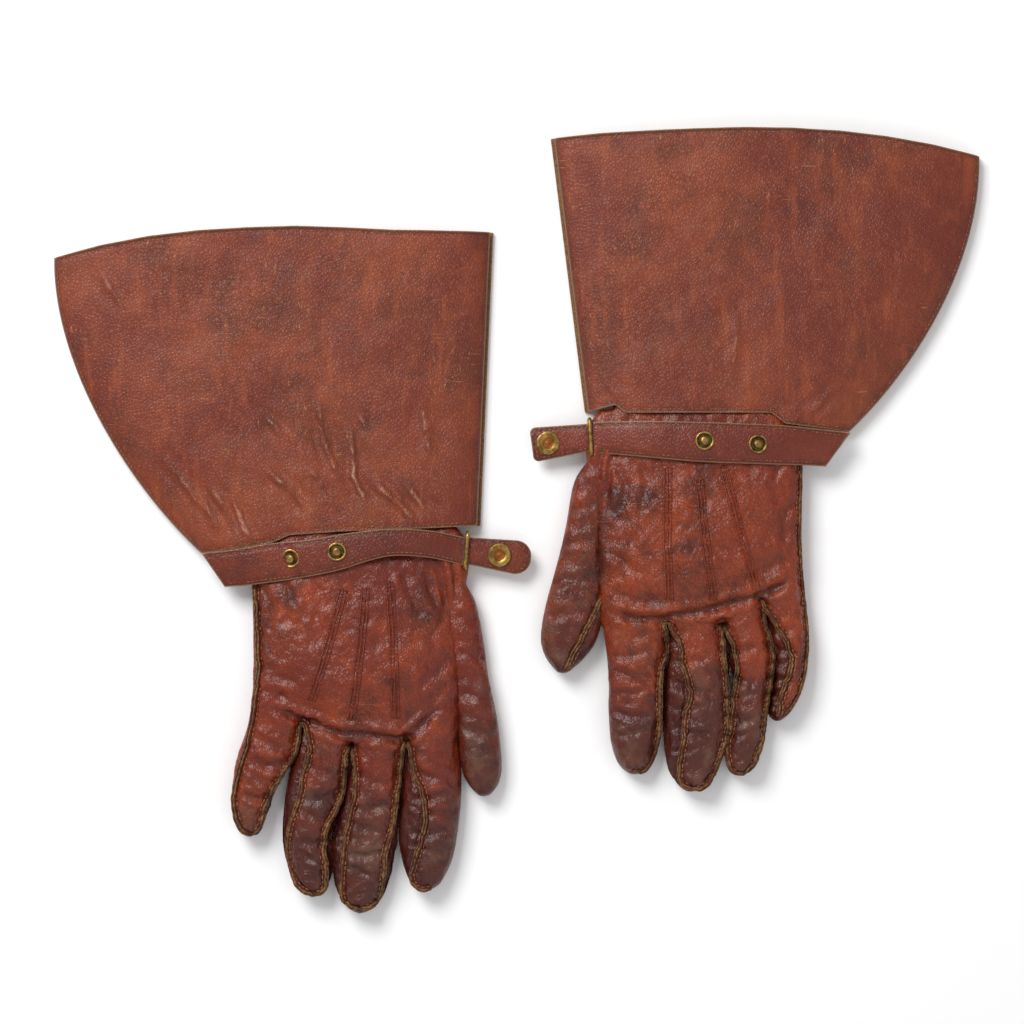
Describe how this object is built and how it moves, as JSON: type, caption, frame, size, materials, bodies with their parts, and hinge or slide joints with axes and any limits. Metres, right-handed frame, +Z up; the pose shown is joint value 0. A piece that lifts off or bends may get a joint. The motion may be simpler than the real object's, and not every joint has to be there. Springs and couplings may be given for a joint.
{
  "type": "riding gloves",
  "caption": "A pair of leather gauntlet riding gloves with flared open cuffs, jointed finger and thumb stalls, and a wrist strap with brass loop and snap fastener, lying palms down.",
  "frame": {"origin": "middle of the pair's bounding box, on the surface the gloves lie on", "axes": "+X across the pair from the right-hand glove to the left-hand glove, +Y from the fingers to the cuffs, +Z up from the surface"},
  "size_m": [0.5388, 0.4558, 0.0287],
  "materials": {
    "cuff_leather": "russet leather with a fine pebble grain, matt to satin, scuffed and mottled",
    "hand_leather": "soft dark red-brown glove leather, creased, satin to semi-gloss",
    "finger_leather": "soft glove leather worn dark and greyish at the fingertips",
    "fourchette_leather": "darker soft side-wall leather with raw tan edges",
    "lining_leather": "undyed tan split leather, matt, raw edges",
    "strap_leather": "russet strap leather with a satin finish and stitched edges",
    "brass": "aged solid brass, satin, tarnished in the recesses"
  },
  "bodies": {
    "right_cuff": {"right_cuff_palm_panel": "cuff_leather", "right_cuff_palm_lining": "lining_leather", "right_cuff_back_lining": "lining_leather", "right_cuff_back_panel": "cuff_leather", "right_wrist_strap": "strap_leather", "right_stud_1": "brass", "right_stud_back_1": "brass", "right_stud_2": "brass", "right_stud_back_2": "brass", "right_loop_chape": "strap_leather"},
    "right_hand": {"right_hand_palm": "hand_leather", "right_hand_back": "hand_leather"},
    "right_index": {"right_index_stall": "finger_leather", "right_index_outer_fourchette": "fourchette_leather"},
    "right_middle": {"right_middle_stall": "finger_leather", "right_middle_outer_fourchette": "fourchette_leather", "right_middle_inner_fourchette": "fourchette_leather"},
    "right_ring": {"right_ring_stall": "finger_leather", "right_ring_outer_fourchette": "fourchette_leather", "right_ring_inner_fourchette": "fourchette_leather"},
    "right_little": {"right_little_stall": "finger_leather", "right_little_inner_fourchette": "fourchette_leather"},
    "right_thumb": {"right_thumb_stall": "hand_leather"},
    "right_loop": {"right_brass_loop": "brass"},
    "right_tab": {"right_strap_tab": "strap_leather", "right_snap_socket": "brass", "right_snap_spring": "brass", "right_snap_cap": "brass"},
    "left_cuff": {"left_cuff_palm_panel": "cuff_leather", "left_cuff_palm_lining": "lining_leather", "left_cuff_back_lining": "lining_leather", "left_cuff_back_panel": "cuff_leather", "left_wrist_strap": "strap_leather", "left_stud_1": "brass", "left_stud_back_1": "brass", "left_stud_2": "brass", "left_stud_back_2": "brass", "left_loop_chape": "strap_leather"},
    "left_hand": {"left_hand_palm": "hand_leather", "left_hand_back": "hand_leather"},
    "left_index": {"left_index_stall": "finger_leather", "left_index_outer_fourchette": "fourchette_leather"},
    "left_middle": {"left_middle_stall": "finger_leather", "left_middle_outer_fourchette": "fourchette_leather", "left_middle_inner_fourchette": "fourchette_leather"},
    "left_ring": {"left_ring_stall": "finger_leather", "left_ring_outer_fourchette": "fourchette_leather", "left_ring_inner_fourchette": "fourchette_leather"},
    "left_little": {"left_little_stall": "finger_leather", "left_little_inner_fourchette": "fourchette_leather"},
    "left_thumb": {"left_thumb_stall": "hand_leather"},
    "left_loop": {"left_brass_loop": "brass"},
    "left_tab": {"left_strap_tab": "strap_leather", "left_snap_socket": "brass", "left_snap_spring": "brass", "left_snap_cap": "brass"}
  },
  "joints": [
    {"name": "right_wrist_bend", "type": "hinge", "parent": "right_cuff", "child": "right_hand", "pos_m": [-0.0964, -0.02838, 0.01], "axis": [1, 0, 0], "range_deg": [-18, 40]},
    {"name": "right_index_bend", "type": "hinge", "parent": "right_hand", "child": "right_index", "pos_m": [-0.0484, -0.12988, 0.00992], "axis": [0.9992, -0.0409, 0], "range_deg": [-15, 75]},
    {"name": "right_middle_bend", "type": "hinge", "parent": "right_hand", "child": "right_middle", "pos_m": [-0.0809, -0.13238, 0.00942], "axis": [0.9946, -0.1041, 0], "range_deg": [-15, 75]},
    {"name": "right_ring_bend", "type": "hinge", "parent": "right_hand", "child": "right_ring", "pos_m": [-0.1094, -0.12788, 0.00818], "axis": [0.9935, -0.114, 0], "range_deg": [-15, 75]},
    {"name": "right_little_bend", "type": "hinge", "parent": "right_hand", "child": "right_little", "pos_m": [-0.1389, -0.11738, 0.00843], "axis": [0.9725, -0.2327, 0], "range_deg": [-15, 75]},
    {"name": "right_thumb_bend", "type": "hinge", "parent": "right_hand", "child": "right_thumb", "pos_m": [-0.0294, -0.04438, 0.00928], "axis": [0.9311, 0.0951, 0.3523], "range_deg": [-5, 45]},
    {"name": "right_loop_tilt", "type": "hinge", "parent": "right_cuff", "child": "right_loop", "pos_m": [-0.029, -0.01878, 0.0076], "axis": [-0.0872, -0.9962, 0], "range_deg": [-20, 8]},
    {"name": "right_tab_fold", "type": "hinge", "parent": "right_loop", "child": "right_tab", "pos_m": [-0.029, -0.01878, 0.0161], "axis": [-0.0872, -0.9962, 0], "range_deg": [-15, 150]},
    {"name": "left_glove_lift", "type": "slide", "parent": "right_cuff", "child": "left_cuff", "axis": [0, 0, 1], "range_m": [0, 0.15]},
    {"name": "left_wrist_bend", "type": "hinge", "parent": "left_cuff", "child": "left_hand", "pos_m": [0.1094, 0.03502, 0.01], "axis": [1, 0, 0], "range_deg": [-18, 40]},
    {"name": "left_index_bend", "type": "hinge", "parent": "left_hand", "child": "left_index", "pos_m": [0.0674, -0.06098, 0.01042], "axis": [0.9998, -0.0175, 0], "range_deg": [-15, 75]},
    {"name": "left_middle_bend", "type": "hinge", "parent": "left_hand", "child": "left_middle", "pos_m": [0.1024, -0.06148, 0.0098], "axis": [0.9998, -0.0176, 0], "range_deg": [-15, 75]},
    {"name": "left_ring_bend", "type": "hinge", "parent": "left_hand", "child": "left_ring", "pos_m": [0.1304, -0.05698, 0.00725], "axis": [0.9997, -0.0259, 0], "range_deg": [-15, 75]},
    {"name": "left_little_bend", "type": "hinge", "parent": "left_hand", "child": "left_little", "pos_m": [0.1549, -0.05048, 0.00744], "axis": [0.9988, -0.0481, 0], "range_deg": [-15, 75]},
    {"name": "left_thumb_bend", "type": "hinge", "parent": "left_hand", "child": "left_thumb", "pos_m": [0.0404, 0.01902, 0.00924], "axis": [0.9273, -0.1265, -0.3523], "range_deg": [-5, 45]},
    {"name": "left_loop_tilt", "type": "hinge", "parent": "left_cuff", "child": "left_loop", "pos_m": [0.0428, 0.04682, 0.0076], "axis": [-0.0523, 0.9986, 0], "range_deg": [-20, 8]},
    {"name": "left_tab_fold", "type": "hinge", "parent": "left_loop", "child": "left_tab", "pos_m": [0.0428, 0.04682, 0.0161], "axis": [-0.0523, 0.9986, 0], "range_deg": [-15, 150]}
  ]
}
